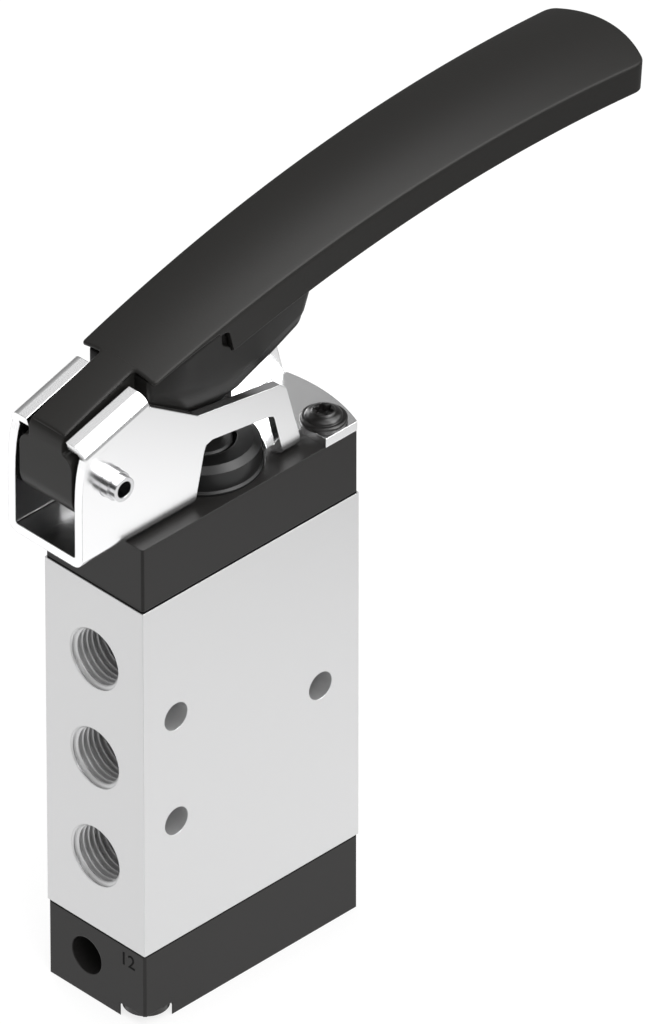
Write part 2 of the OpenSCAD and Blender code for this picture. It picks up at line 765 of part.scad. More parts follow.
// Point and ring of the spring's wire
function coil_point(a, lift) = [coil_r * cos(a), coil_r * sin(a), spring_floor + wire_r + 0.02 + lift];
module return_spring() {
    steps = coil_turns * 16;
    sides = 8;
    rise = spring_top - spring_floor - 2 * wire_r - 0.04;
    points = [for (i = [0 : steps]) for (j = [0 : sides - 1])
        let (a = i * 360 / 16, t = j * 360 / sides, r = coil_r + wire_r * cos(t))
        [r * cos(a), r * sin(a), coil_point(a, rise * i / steps)[2] + wire_r * sin(t)]];
    walls = [for (i = [0 : steps - 1]) for (j = [0 : sides - 1])
        [i * sides + j, i * sides + (j + 1) % sides, (i + 1) * sides + (j + 1) % sides, (i + 1) * sides + j]];
    ends = [[for (j = [sides - 1 : -1 : 0]) j], [for (j = [0 : sides - 1]) steps * sides + j]];
    color("silver") polyhedron(points, concat(walls, ends));
}

// Pan head screw with a flange, head upwards, seated on z = 0
module flange_screw(shank) {
    dome_r = head_r - 0.8;
    socket_r = 1.4;
    translate([0, 0, -shank]) cylinder(r = screw_r, h = shank + cut);
    rotate_extrude() polygon([
        [0, 0], [head_r, 0], [head_r, 0.6], [dome_r + 0.1, 0.8], [dome_r, 0.95],
        [dome_r - 0.3, head_h - 0.75], [dome_r - 1.1, head_h - 0.2], [dome_r - 1.9, head_h],
        [socket_r, head_h], [socket_r, head_h - 1.3], [0, head_h - 1.3]]);
}

module bracket_screws() {
    shank = washer_t + sheet + top_cap_h + gasket_t + screw_bite - 0.5;
    color("dimgray") at_bracket_screws() translate([0, 0, deck + sheet + washer_t]) flange_screw(shank);
}

module bracket_washers() {
    color("dimgray") at_bracket_screws() translate([0, 0, deck + sheet]) difference() {
        cylinder(r = head_r - 0.15, h = washer_t);
        translate([0, 0, -1]) cylinder(r = screw_r + 0.2, h = washer_t + 2);
    }
}

module bottom_cap_screws() {
    shank = low_cap_h - pocket_h + gasket_t + screw_bite - 0.5;
    rim_h = 1.1;
    dome_h = pocket_h - 0.7;
    color("dimgray") at_low_screws() translate([0, 0, pocket_h]) mirror([0, 0, 1]) {
        translate([0, 0, -shank]) cylinder(r = screw_r, h = shank + cut);
        cylinder(r = head_r, h = rim_h);
        cylinder(r1 = head_r - 0.8, r2 = head_r - 1.6, h = dome_h);
    }
}

valve_body();
top_cap();
bottom_cap();
top_gasket();
bottom_gasket();
lever_bracket();
pivot_pin();
lever_handle();
pressure_block();
plunger();
plunger_guide();
wiper_ring();
plunger_o_ring();
guide_o_ring();
spool();
spool_seals();
spacer_cages();
end_sleeves();
spring_seat();
return_spring();
bracket_screws();
bracket_washers();
bottom_cap_screws();
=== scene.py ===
"""Finger lever valve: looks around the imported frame.

The ports in front face -X, and z = 0 is the underside of the lower cap. Shapes are drawn in
millimetres and made in metres.
"""

import json
import math

import bmesh
import bpy
from mathutils import Matrix, Vector


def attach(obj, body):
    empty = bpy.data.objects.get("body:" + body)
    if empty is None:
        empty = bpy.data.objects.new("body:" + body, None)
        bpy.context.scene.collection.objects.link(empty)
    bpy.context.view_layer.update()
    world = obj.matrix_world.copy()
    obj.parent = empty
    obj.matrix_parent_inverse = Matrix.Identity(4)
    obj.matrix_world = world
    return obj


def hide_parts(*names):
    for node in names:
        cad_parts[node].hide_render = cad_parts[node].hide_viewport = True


MM = 0.001
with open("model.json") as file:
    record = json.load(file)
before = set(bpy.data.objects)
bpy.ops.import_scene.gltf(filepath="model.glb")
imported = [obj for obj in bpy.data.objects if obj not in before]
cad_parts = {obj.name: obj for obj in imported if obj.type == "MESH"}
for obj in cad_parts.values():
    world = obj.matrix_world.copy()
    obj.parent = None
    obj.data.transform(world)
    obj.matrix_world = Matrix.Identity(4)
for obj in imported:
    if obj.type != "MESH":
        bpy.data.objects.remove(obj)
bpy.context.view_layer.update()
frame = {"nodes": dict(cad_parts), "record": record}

# Sizes in millimetres that pieces and camera share: the aluminium block, and DECK, the height of the
# upper cap's top
BLOCK_FOOT = 17.2
BLOCK_TALL = 79.6
BLOCK_WIDE = 26.5
BLOCK_MID = BLOCK_FOOT + BLOCK_TALL / 2
DECK = 111.4


# Materials
MATS = {}


def principled(name):
    """A named material with one Principled shader: its node tree and the shader."""
    material = bpy.data.materials.new(name)
    material.use_nodes = True
    tree = material.node_tree
    tree.nodes.clear()
    output = tree.nodes.new("ShaderNodeOutputMaterial")
    shader = tree.nodes.new("ShaderNodeBsdfPrincipled")
    tree.links.new(shader.outputs["BSDF"], output.inputs["Surface"])
    MATS[name] = material
    return tree, shader


def rounded_normal(tree, radius):
    """Normal that rounds sharp edges in the shading, by a radius in millimetres."""
    bevel = tree.nodes.new("ShaderNodeBevel")
    bevel.samples = 6
    bevel.inputs["Radius"].default_value = radius * MM
    return bevel.outputs["Normal"]


def grain(tree, normal, scale, strength, distance):
    """Normal with fine bumps over it."""
    place = tree.nodes.new("ShaderNodeTexCoord")
    noise = tree.nodes.new("ShaderNodeTexNoise")
    noise.inputs["Scale"].default_value = scale
    noise.inputs["Detail"].default_value = 2.0
    tree.links.new(place.outputs["Object"], noise.inputs["Vector"])
    bump = tree.nodes.new("ShaderNodeBump")
    bump.inputs["Strength"].default_value = strength
    bump.inputs["Distance"].default_value = distance
    tree.links.new(noise.outputs["Fac"], bump.inputs["Height"])
    tree.links.new(normal, bump.inputs["Normal"])
    return bump.outputs["Normal"]


def plastic(name, colour, rough, radius, bump, shine=0.4):
    """Moulded plastic, rubber or painted steel; radius rounds its edges."""
    tree, shader = principled(name)
    shader.inputs["Base Color"].default_value = (*colour, 1)
    shader.inputs["Roughness"].default_value = rough
    shader.inputs["Specular IOR Level"].default_value = shine
    normal = grain(tree, rounded_normal(tree, radius), scale=2600.0, strength=bump, distance=0.04 * MM)
    tree.links.new(normal, shader.inputs["Normal"])


def metal(name, colour, rough, radius, metallic=1.0, bump=0.0):
    """Bare metal, with a grain where bump is more than nothing."""
    tree, shader = principled(name)
    shader.inputs["Base Color"].default_value = (*colour, 1)
    shader.inputs["Roughness"].default_value = rough
    shader.inputs["Metallic"].default_value = metallic
    normal = rounded_normal(tree, radius)
    if bump > 0:
        normal = grain(tree, normal, scale=1800.0, strength=bump, distance=0.02 * MM)
    tree.links.new(normal, shader.inputs["Normal"])


metal("anodised_aluminium", (0.65, 0.65, 0.653), rough=0.42, radius=0.15, metallic=0.75, bump=0.15)
plastic("cap_plastic", (0.0142, 0.0134, 0.0130), rough=0.42, radius=0.35, bump=0.3, shine=0.25)
plastic("lever_plastic", (0.0142, 0.0136, 0.0127), rough=0.37, radius=0.35, bump=0.35, shine=0.21)
plastic("block_plastic", (0.0088, 0.0084, 0.0079), rough=0.40, radius=0.35, bump=0.35, shine=0.10)
plastic("plunger_plastic", (0.024, 0.024, 0.024), rough=0.40, radius=0.2, bump=0.1, shine=0.3)
plastic("guide_plastic", (0.0085, 0.0085, 0.0085), rough=0.32, radius=0.2, bump=0.1, shine=0.35)
plastic("gasket_rubber", (0.003, 0.003, 0.003), rough=0.7, radius=0.1, bump=0.1, shine=0.1)
metal("bright_sheet_steel", (0.98, 0.98, 0.985), rough=0.21, radius=0.25)
metal("pin_steel", (0.70, 0.70, 0.71), rough=0.16, radius=0.2)
metal("spool_steel", (0.62, 0.62, 0.63), rough=0.25, radius=0.2)
metal("spring_steel", (0.5, 0.5, 0.5), rough=0.3, radius=0.05)
plastic("cage_plastic", (0.55, 0.42, 0.28), rough=0.5, radius=0.2, bump=0.1)
plastic("black_steel", (0.010, 0.0095, 0.0092), rough=0.28, radius=0.15, bump=0.05, shine=0.5)

# Each CAD node takes the material of its slot
SLOT = {}
for part in frame["record"]["subparts"]:
    node = part["node"]
    SLOT[node] = part["material_slot"]
    coat = frame["nodes"][node].data.materials
    coat.clear()
    coat.append(MATS[SLOT[node]])

# The body that each CAD node moves with
BODY = {}
for body, nodes in frame["record"]["behaviour"]["bodies"].items():
    for node in nodes:
        BODY[node] = body


# Tools that make pieces
def add_object(name, data):
    """An object of this name in the scene."""
    o = bpy.data.objects.new(name, data)
    bpy.context.scene.collection.objects.link(o)
    return o


def mesh_of(name, verts, faces):
    """A mesh drawn in millimetres, with doubled points merged and its faces turned outwards."""
    mesh = bpy.data.meshes.new(name)
    mesh.from_pydata([(x * MM, y * MM, z * MM) for x, y, z in verts], [], faces)
    bm = bmesh.new()
    bm.from_mesh(mesh)
    bmesh.ops.remove_doubles(bm, verts=bm.verts, dist=1e-7)
    bmesh.ops.recalc_face_normals(bm, faces=bm.faces)
    bm.to_mesh(mesh)
    bm.free()
    return mesh


def evaluated_mesh(o):
    """A new mesh of an object as its modifiers or its text leave it."""
    bpy.context.view_layer.update()
    return bpy.data.meshes.new_from_object(o.evaluated_get(bpy.context.evaluated_depsgraph_get()))


def piece(name, verts, faces, like, sharp=40.0, material=None, replaced=()):
    """A piece that rides and looks like a CAD node, smooth except at edges sharper than an angle."""
    mesh = mesh_of(name, verts, faces)
    mesh.materials.append(material or MATS[SLOT[like]])
    mesh.polygons.foreach_set("use_smooth", [True] * len(mesh.polygons))
    mesh.set_sharp_from_angle(angle=math.radians(sharp))
    o = add_object(name, mesh)
    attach(o, BODY[like])
    if replaced:
        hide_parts(*replaced)
    return o


def round_edges(o, width, segments, angle):
    """Round the edges that are sharper than an angle, by a width in millimetres."""
    bevel = o.modifiers.new("rounding", "BEVEL")
    bevel.width = width * MM
    bevel.segments = segments
    bevel.limit_method = "ANGLE"
    bevel.angle_limit = math.radians(angle)


def loft(rings, cap=False):
    """Faces between closed rings of equal length, and over both ends where cap is set."""
    n = len(rings[0])
    verts = [v for ring in rings for v in ring]
    faces = []
    for i in range(len(rings) - 1):
        for j in range(n):
            k = (j + 1) % n
            faces.append((i * n + j, i * n + k, (i + 1) * n + k, (i + 1) * n + j))
    if cap:
        last = (len(rings) - 1) * n
        faces.append(tuple(range(n)))
        faces.append(tuple(last + j for j in range(n)))
    return verts, faces


def prism(points, half_width):
    """A side view of x and z, drawn out to both sides of y = 0."""
    return loft([[(x, y, z) for x, z in points] for y in (-half_width, half_width)], cap=True)


def join(*parts):
    """One list of points and one of faces, out of several of each."""
    verts, faces = [], []
    for more_verts, more_faces in parts:
        first = len(verts)
        verts += more_verts
        faces += [tuple(first + i for i in face) for face in more_faces]
    return verts, faces


def circle(cx, cy, r, z, n):
    """Level ring of n points."""
    turns = [2 * math.pi * k / n for k in range(n)]
    return [(cx + r * math.cos(a), cy + r * math.sin(a), z) for a in turns]


def arc(cx, cy, r, start, stop, n):
    """Points of an arc in a plane, from one angle in degrees to another in n steps."""
    angles = [math.radians(start + (stop - start) * i / n) for i in range(n + 1)]
    return [(cx + r * math.cos(a), cy + r * math.sin(a)) for a in angles]


def smooth(t):
    """Soft step from 0 to 1."""
    t = min(max(t, 0.0), 1.0)
    return t * t * (3 - 2 * t)


# Lever: the top is arched along x and crowned across y, and a depth is measured down from the
# top, square to the arch
ARCH_R = 334.6
ARCH_X = 78.7
ARCH_TOP = DECK + 49.65
ARCH_Z = ARCH_TOP - ARCH_R
CROWN_R = 48.0
NECK_FRONT = -39.9
NECK_Y = 4.4
BARREL_FRONT = -40.4
BARREL_Y = 7.0
SHOULDER_X = -21.8
SHOULDER_Y = 9.78
WIDENING = 0.024
TIP_X = 107.34
TIP_R = 27.0
CREASE_R = 0.45
SKIRT_DEEP = 7.4
SKIRT_TAPER = 0.0124
SKIRT_THICK = 1.7
TOP_THICK = 2.0
# A narrow slot from SLOT_X to SKIRT_X, where the skirt starts
SLOT_X = -4.97
SKIRT_X = -3.17


def on_crest(x, y, deep):
    """Point under the place (x, y) of the lever's top, lowered square to the arch."""
    top_r = ARCH_R - CROWN_R + math.sqrt(CROWN_R * CROWN_R - y * y)
    t = math.asin((ARCH_X - x) / top_r)
    r = top_r - deep
    return (ARCH_X - r * math.sin(t), y, ARCH_Z + r * math.cos(t))


def lever_y(x):
    """Half width of the lever."""
    return SHOULDER_Y + WIDENING * (x - SHOULDER_X)


def skirt_deep(x):
    """Depth of the skirt, which tapers to the tip."""
    return SKIRT_DEEP - SKIRT_TAPER * x


def wall_deep(x):
    """Depth of the lever's edge face: a thin lip that grows to the slot, a rounded step, the skirt."""
    lip, lip_growth = 0.6, 0.7
    step, step_round, step_slant = 1.75, 1.3, 0.12
    if x < SLOT_X:
        along = max((x - SHOULDER_X) / (SLOT_X - SHOULDER_X), 0.0)
        return lip + lip_growth * along ** 2
    if x < SKIRT_X:
        along = (x - SLOT_X) / (SKIRT_X - SLOT_X)
        return step + step_round * (1 - math.sqrt(1 - along * along)) + step_slant * (1 - along)
    return skirt_deep(x)


def edge_points(x, stop, step):
    """Points on the lever's near edge, from x to just before stop."""
    points = []
    while x < stop:
        points.append((x, -lever_y(x)))
        x += step
    return points


def lever_half():
    """Near half of the plan, y negative, from the middle of the neck's front to that of the tip."""
    neck_corner = 0.7
    inner_corner = 0.8
    shoulder_corner = 0.9
    shoulder_out = 9.8
    edge_lean = 1.4
    points = [(NECK_FRONT, 0.0), (NECK_FRONT, -2.0)]
    points += arc(NECK_FRONT + neck_corner, neck_corner - NECK_Y, neck_corner, 180, 270, 5)
    points += [(-34.0, -NECK_Y), (-28.0, -NECK_Y)]
    points += arc(SHOULDER_X - inner_corner, -NECK_Y - inner_corner, inner_corner, 90, 0, 6)
    points += [(SHOULDER_X + 0.01, -BARREL_Y)]
    points += arc(SHOULDER_X + shoulder_corner, shoulder_corner - shoulder_out, shoulder_corner,
                  180, 270 - edge_lean, 6)

    # Along the edge the points come in close pairs where the depth steps, and densely over the slot
    step = 1.5
    pair = 0.01
    corner_x, aim_x = 102.0, 104.15
    points += edge_points(-19.0, SLOT_X - 2 * pair, step)
    points.append((SLOT_X, -lever_y(SLOT_X)))
    points += edge_points(SLOT_X + pair, SKIRT_X, (SKIRT_X - SLOT_X - 2 * pair) / 9)
    points.append((SKIRT_X, -lever_y(SKIRT_X)))
    points += edge_points(-2.0, corner_x - 0.5, step)

    # The corner between edge and tip is a curve, drawn towards a point further along the edge
    tip_middle = TIP_X - TIP_R
    tip_corner = -24.5
    leave = (corner_x, -lever_y(corner_x))
    aim = (aim_x, -lever_y(aim_x))
    meet = arc(tip_middle, 0, TIP_R, tip_corner, tip_corner, 1)[0]
    for i in range(9):
        t = i / 8
        points.append(tuple((1 - t) ** 2 * a + 2 * t * (1 - t) * b + t * t * c
                            for a, b, c in zip(leave, aim, meet)))
    points += arc(tip_middle, 0, TIP_R, tip_corner + 1, 0, 18)
    return points


def inset_by(points, inset):
    """Half plan moved inwards, kept on its own side of y = 0."""
    moved = []
    for i, (x, y) in enumerate(points):
        if i == 0:
            inward = (1.0, 0.0)
        elif i == len(points) - 1:
            inward = (-1.0, 0.0)
        else:
            x0, y0 = points[i - 1]
            x1, y1 = points[i + 1]
            length = math.hypot(x1 - x0, y1 - y0)
            inward = (-(y1 - y0) / length, (x1 - x0) / length)
        moved.append((x + inset * inward[0], min(y + inset * inward[1], 0.0)))
    return moved


def fill_across(verts, faces, first, plan, inset, deep):
    """Close the lever's ring that starts at the point numbered first, by rows of faces across it."""
    strips = 24
    ring_length = 2 * len(plan) - 2
    row = inset_by(plan, inset)
    last = None
    for i in range(1, len(plan) - 1):
        x, y = row[i]
        here = min(deep, wall_deep(plan[i][0]))
        line = [first + i]
        for k in range(1, strips):
            line.append(len(verts))
            verts.append(on_crest(x, y + (-2 * y) * k / strips, here))
        line.append(first + ring_length - i)
        for k in range(strips):
            if last is None:
                faces.append((first, line[k], line[k + 1]))
            else:
                faces.append((last[k], last[k + 1], line[k + 1], line[k]))
        last = line
    tip = first + len(plan) - 1
    for k in range(strips):
        faces.append((last[k + 1], last[k], tip))


def lever_shell():
    """Crowned top with rounded crease, hanging skirt and hollow underside."""
    plan = lever_half()

    # A ring has an inset, a depth that stops at the wall's own, and what the rim's rounding adds.
    # They go from the top over the crease, down the outer face, round the rim and up inside.
    levels = []
    for i in range(6):
        a = math.radians(90 * i / 5)
        levels.append((CREASE_R * (1 - math.sin(a)), CREASE_R * (1 - math.cos(a)), 0.0))
    rim_r = 0.3
    bulge = rim_r / 2
    rim = math.inf
    levels += [(0.0, 1.4, 0.0), (0.0, 3.5, 0.0), (0.0, rim, 0.0), (rim_r, rim, bulge),
               (SKIRT_THICK - rim_r, rim, bulge), (SKIRT_THICK, rim, 0.0), (SKIRT_THICK, TOP_THICK, 0.0)]

    rings = []
    for inset, deepest, beyond in levels:
        row = []
        for (x, y), (plan_x, _) in zip(inset_by(plan, inset), plan):
            row.append((x, y, min(deepest, wall_deep(plan_x)) + beyond))
        near = [on_crest(x, y, deep) for x, y, deep in row]
        far = [on_crest(x, -y, deep) for x, y, deep in reversed(row[1:-1])]
        rings.append(near + far)
    rings.reverse()
    verts, faces = loft(rings)
    top_ring = (len(rings) - 1) * len(rings[0])
    fill_across(verts, faces, top_ring, plan, CREASE_R, 0.0)
    fill_across(verts, faces, 0, plan, SKIRT_THICK, TOP_THICK)
    return verts, faces


def barrel_section():
    """Outline across neck and barrel: y, and height over the barrel's own top."""
    edge_r = 2.8
    fillet = 0.6
    points = [(-BARREL_Y, -40.0)]
    points += arc(edge_r - BARREL_Y, -edge_r, edge_r, 180, 90, 8)
    points += [(-NECK_Y - fillet, 0.0)]
    points += arc(-NECK_Y - fillet, fillet, fillet, 270, 360, 3)[1:]
    points += [(-NECK_Y, 30.0)]
    return points + [(-y, z) for y, z in reversed(points)]


def neck_side():
    """Side view of neck and barrel, up to just below the crown."""
    foot, rear, corner = DECK + 8.7, -26.0, 6.0
    neck_end, neck_front = -15.0, -38.9
    under = 0.3
    points = arc(BARREL_FRONT + corner, foot + corner, corner, 180, 270, 12)
    points += arc(rear - corner, foot + corner, corner, 270, 360, 12)
    points += [(rear, DECK + 20.0), (neck_end, DECK + 27.0), (neck_end, on_crest(neck_end, NECK_Y, 0.9)[2])]
    x = neck_end - 2.0
    while x > neck_front:
        points.append((x, on_crest(x, NECK_Y, under)[2]))
        x -= 1.5
    points += [(neck_front, on_crest(neck_front, NECK_Y, under)[2])]
    points += [(BARREL_FRONT + 0.8, DECK + 27.7), (BARREL_FRONT + 0.3, DECK + 27.0),
               (BARREL_FRONT, DECK + 26.0)]
    return points


def barrel_solid():
    """Side view and section, both drawn as solids and cut to what they share."""
    slope = math.radians(16.3)
    top = DECK + 23.75
    ends = []
    for along in (-30.0, 40.0):
        x = BARREL_FRONT + along * math.cos(slope)
        z = top + along * math.sin(slope)
        ends.append([(x - h * math.sin(slope), y, z + h * math.cos(slope)) for y, h in barrel_section()])
    side = add_object("side_view", mesh_of("side_view", *prism(neck_side(), 20.0)))
    section = add_object("section", mesh_of("section", *loft(ends, cap=True)))
    shared = side.modifiers.new("shared", "BOOLEAN")
    shared.operation = "INTERSECT"
    shared.solver = "EXACT"
    shared.object = section
    mesh = evaluated_mesh(side)
    verts = [(v.co.x / MM, v.co.y / MM, v.co.z / MM) for v in mesh.vertices]
    faces = [tuple(face.vertices) for face in mesh.polygons]
    bpy.data.objects.remove(side)
    bpy.data.objects.remove(section)
    return verts, faces


def ribs():
    """Thin ribs across the hollow, behind the pressure block."""
    count = 5
    start, room = 23.4, 79.95
    half_thick = 0.7
    upper, lower = 1.5, 4.7
    parts = []
    for i in range(count):
        x = start + (i + 0.5) * room / count
        reach = lever_y(x) - 1.0
        across = (-reach, -reach / 2, 0.0, reach / 2, reach)
        rings = []
        for dx in (-half_thick, half_thick):
            ring = [on_crest(x + dx, y, upper) for y in across]
            ring += [on_crest(x + dx, y, lower) for y in reversed(across)]
            rings.append(ring)
        parts.append(loft(rings, cap=True))
    return join(*parts)


piece("lever_shell", *lever_shell(), like="lever_handle", replaced=["lever_handle"])
barrel = piece("lever_barrel", *barrel_solid(), like="lever_handle", sharp=30)
round_edges(barrel, width=0.35, segments=3, angle=40)
piece("lever_ribs", *ribs(), like="lever_handle")

# Pressure block: a keel between the bracket's walls, which widens above them to the lever's edge
PRESS_FRONT = -21.6
PRESS_REAR = 22.0
PRESS_GAP = 0.06
# Radius of the arch at the lever's edge
EDGE_ARCH_R = 333.5
# The block's lowest line in side view: x, and height over the deck
BELLY = ((PRESS_FRONT, 23.6), (-15.7, 21.2), (-9.7, 18.9), (-7.0, 18.1), (-4.0, 17.7), (-0.5, 17.85),
         (2.9, 18.5), (12.2, 22.2), (19.6, 25.6), (21.0, 26.7), (21.7, 28.0), (PRESS_REAR, 29.6))


def belly(x):
    """Lowest height of the block."""
    for (xa, za), (xb, zb) in zip(BELLY, BELLY[1:]):
        if x <= xb:
            return DECK + za + (zb - za) * (x - xa) / (xb - xa)
    return DECK + BELLY[-1][1]


def press_y(x):
    """Half width of the block at the lever's edge, just inside the lever."""
    return lever_y(x) - PRESS_GAP


def arch_angle(x):
    """Angle between the arch and the level at the lever's edge."""
    return math.asin((ARCH_X - x) / EDGE_ARCH_R)


def flank_start(x):
    """Height that the bracket's walls reach on the block when the lever is pressed."""
    level, level_from, level_to = 24.2, -9.9, 4.0
    front_rise, rear_rise = 0.488, 0.287
    rise = max(level_from - x, 0.0) * front_rise
    return DECK + level + rise + max(x - level_to, 0.0) * rear_rise


def block_side(x, z, foot):
    """Half width at a height: rounded below, clear of the walls, then straight out to the edge."""
    keel, passing, round_r = 7.4, 8.05, 2.1
    widen_from, widen_over = -19, 6
    edge_face = 1.5
    h = z - foot
    if h < round_r:
        return keel - round_r + math.sqrt(max(round_r ** 2 - (round_r - h) ** 2, 0.0))
    h -= round_r
    clear = flank_start(x) - foot - round_r
    if h < clear:
        return keel + (passing - keel) * h / clear
    edge = passing + (press_y(x) - passing) * smooth((x - widen_from) / widen_over)
    flank_end = on_crest(x, edge, 0.0)[2] - edge_face - foot - round_r
    return min(passing + (edge - passing) * (h - clear) / (flank_end - clear), edge)


def lean(x):
    """How far a section runs to the rear per millimetre of depth.

    Upright at the front end, square to the arch in the middle, and a little forward at the rear.
    """
    square_from, square_to, blend = -21, 2, 10
    forward, forward_from = 0.1, 10
    square = math.tan(arch_angle(x)) * smooth((x - square_from) / blend)
    square *= 1 - smooth((x - square_to) / blend)
    return square - forward * smooth((x - forward_from) / blend)


def block_places():
    """Places of the block's sections, closest over the slot and at the rounded rear end."""
    places = [PRESS_FRONT]
    for stop, step in ((-5.6, 0.6), (SLOT_X - 0.03, 0.2), (SKIRT_X + 0.03, 0.09), (-1.0, 0.3),
                       (17.0, 0.6), (PRESS_REAR, 0.15)):
        while places[-1] + step < stop:
            places.append(places[-1] + step)
        places.append(stop)
    return places


def block_section(x, shrink):
    """Ring round the block at one place, narrower beside the skirt and in the slot."""
    overlap, skirt_gap, least = 0.1, 0.1, 0.05
    head_drop = 1.6
    slot_deep, slot_slant, slot_start = 4.6, 2.1, SLOT_X + 0.02
    crease = on_crest(x, press_y(x), 0.0)[2]
    slope = lean(x)
    steep = math.cos(arch_angle(x))

    # The section leans, so its foot lies on the belly at another x, found in a few rounds
    foot = belly(x)
    for _ in range(6):
        foot = belly(min(x + slope * (crease - foot), PRESS_REAR))
    if x < SLOT_X:
        head = crease - wall_deep(x) / steep - overlap
    else:
        head = crease - head_drop
    rim = crease - (skirt_deep(x) + overlap) / steep

    # Points from the foot to the head, closest at the rounded foot
    steps, closeness = 72, 1.3
    side = []
    for k in range(steps + 1):
        z = foot + (head - foot) * (k / steps) ** closeness
        y = block_side(x, z, foot) - shrink
        if x >= SKIRT_X and z > rim:
            y = min(y, lever_y(x) - (SKIRT_THICK + skirt_gap))
        if slot_start < x < SKIRT_X:
            along = (x - SLOT_X) / (SKIRT_X - SLOT_X)
            if z > crease - slot_deep - slot_slant * along:
                y = min(y, lever_y(x) - SKIRT_THICK)
        side.append((max(y, least), z))

    def leaning(y, z):
        return (x + slope * (crease - z), y, z)

    near = [leaning(-y, z) for y, z in side]
    far = [leaning(y, z) for y, z in reversed(side)]
    return [leaning(0.0, foot)] + near + [leaning(0.0, head)] + far


def block():
    """The block from its front to its rounded rear end."""
    front_edge, rear_r = 0.5, 2.6
    rings = []
    for x in block_places():
        shrink = 0.0
        if x == PRESS_FRONT:
            shrink = front_edge
        if x > PRESS_REAR - rear_r:
            shrink = rear_r - math.sqrt(max(rear_r ** 2 - (x - PRESS_REAR + rear_r) ** 2, 0.0))
        rings.append(block_section(x, shrink))
    return loft(rings, cap=True)


def nose():
    """Blunt cone that presses the plunger: radius, and height over its lowest point."""
    middle_x = 1.0
    foot = DECK + 6.0
    profile = ((0.0, 0.0), (2.4, 0.25), (3.0, 0.45), (3.35, 0.9), (4.9, 6.0), (4.9, 18.6), (0.0, 18.6))
    return loft([circle(middle_x, 0.0, r, foot + h, 48) for r, h in profile])


piece("pressure_belly", *block(), like="pressure_block", sharp=50, material=MATS["block_plastic"])
piece("pressure_nose", *nose(), like="pressure_block", replaced=["pressure_block"])

# Threads in the ports: ridges of a G1/4 thread behind a small countersink
PORT_FACE = 28.29
PORT_PITCH = 22.9


def thread():
    """Rings along the thread, by depth in the port, and a sleeve behind its ridges."""
    root, crest, pitch, deep = 6.56, 5.74, 1.337, 11.9
    sleeve = 6.575
    flat = 0.12
    countersink = 0.95
    n, rows = 84, 132
    rings = []
    for i in range(rows + 1):
        depth = deep * i / rows
        ring = []
        for k in range(n):
            a = 2 * math.pi * k / n
            phase = (depth / pitch - k / n) % 1.0
            ridge = 1 - abs(2 * phase - 1)
            r = crest + (root - crest) * smooth((ridge - flat) / (1 - 2 * flat))
            r = max(r, root - depth * countersink)
            ring.append((depth, r * math.cos(a), r * math.sin(a)))
        rings.append(ring)
    for depth in (deep, 0.0):
        rings.append([(depth, y, z) for y, z, _ in circle(0.0, 0.0, sleeve, depth, n)])
    rings.append(rings[0])
    return rings


def port_thread(name, z, side):
    """The thread of a port in the front, side -1, or in the rear, side 1."""
    rings = [[(side * (PORT_FACE - depth), y, z + w) for depth, y, w in ring] for ring in thread()]
    piece(name, *loft(rings), like="valve_body", sharp=60)


for i in range(3):
    port_thread("thread_front_%d" % (i + 1), BLOCK_MID + (i - 1) * PORT_PITCH, -1)
for i in range(2):
    port_thread("thread_rear_%d" % (i + 1), BLOCK_MID + (i - 0.5) * PORT_PITCH, 1)

# Bracket screws: flanged heads on their washers, with a six-lobe recess
SCREW_BASE = DECK + 2.4
SCREW_FOOT = DECK - 23.0
SCREW_PLACES = ((23.5, -8.6), (-23.5, 8.6))


def screw_head(cx, cy):
    """Flange, domed top and recess, by radius and height over the washer."""
    flange_r, dome_r, height = 4.55, 3.7, 2.2
    dome_foot, dome_swell, dome_blunt = 0.84, 1.03, 0.9
    mouth_r, lobe_r, lobe_swing = 2.25, 1.66, 0.30
    n = 96

    def lobes(share, h):
        points = []
        for k in range(n):
            a = 2 * math.pi * k / n
            r = (lobe_r + lobe_swing * math.cos(6 * a)) * share
            points.append((cx + r * math.cos(a), cy + r * math.sin(a), SCREW_BASE + h))
        return points

    profile = [(0.01, 0.0), (flange_r - 0.08, 0.0), (flange_r, 0.08), (flange_r, 0.5),
               (flange_r - 0.1, 0.62), (dome_r + 0.28, 0.8), (dome_r + 0.05, 0.78), (dome_r, dome_foot)]
    for i in range(1, 15):
        a = math.radians(90 * i / 15)
        r = dome_r * math.cos(a) ** dome_blunt
        if r < mouth_r:
            break
        profile.append((r, dome_foot + (height - dome_foot) * dome_swell * math.sin(a)))
    profile.append((2.12, height - 0.02))
    rings = [circle(cx, cy, r, SCREW_BASE + h, n) for r, h in profile]
    rings += [lobes(1.05, height), lobes(1.0, height - 0.08), lobes(0.97, height - 1.4)]
    rings.append(circle(cx, cy, 0.01, SCREW_BASE + height - 1.6, n))
    return loft(rings)


def shank(cx, cy):
    """Plain shank from the cap up into the head."""
    return loft([circle(cx, cy, 2, z, 32) for z in (SCREW_FOOT, SCREW_BASE + 0.2)])


screws = [screw_head(x, y) for x, y in SCREW_PLACES] + [shank(x, y) for x, y in SCREW_PLACES]
piece("torx_screws", *join(*screws), like="bracket_screws", replaced=["bracket_screws"])


